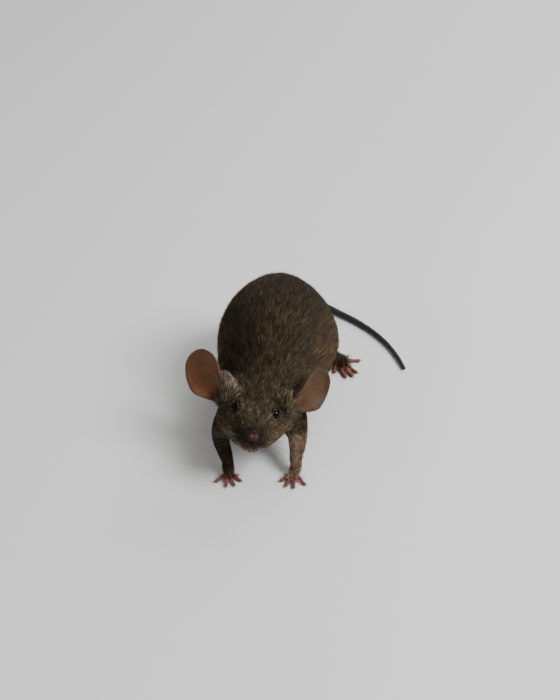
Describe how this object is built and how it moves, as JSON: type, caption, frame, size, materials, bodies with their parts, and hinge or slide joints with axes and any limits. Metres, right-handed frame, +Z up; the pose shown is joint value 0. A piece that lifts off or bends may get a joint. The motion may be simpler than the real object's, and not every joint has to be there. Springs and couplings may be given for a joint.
{
  "type": "house mouse model",
  "caption": "Life-size still model of a house mouse standing on four feet with its head raised and its tail laid round to its left.",
  "frame": {"origin": "on the floor under the middle of the whole mouse's box", "axes": "+Z up, the mouse faces -Y with its tail end towards +Y, its left side is +X"},
  "size_m": [0.0592, 0.0924, 0.0368],
  "materials": {
    "coat": "short dense grizzled brown fur",
    "ear_skin": "thin brown skin with very fine hairs",
    "foot_skin": "bare pink skin",
    "tail_skin": "dark ringed skin with sparse short hairs",
    "nose_skin": "moist pink skin",
    "eye": "wet black gloss"
  },
  "bodies": {
    "root": {"head": "coat", "lower_jaw": "coat", "nose": "nose_skin", "neck": "coat", "chest": "coat", "rump": "coat", "eye_left": "eye", "eye_right": "eye", "ear_left": "ear_skin", "ear_right": "ear_skin", "foreleg_left": "coat", "foreleg_right": "coat", "forefoot_left": "foot_skin", "forefoot_right": "foot_skin", "thigh_left": "coat", "thigh_right": "coat", "shank_left": "coat", "shank_right": "coat", "hindfoot_left": "foot_skin", "hindfoot_right": "foot_skin", "tail_1": "tail_skin", "tail_2": "tail_skin", "tail_3": "tail_skin", "tail_4": "tail_skin"}
  },
  "joints": []
}
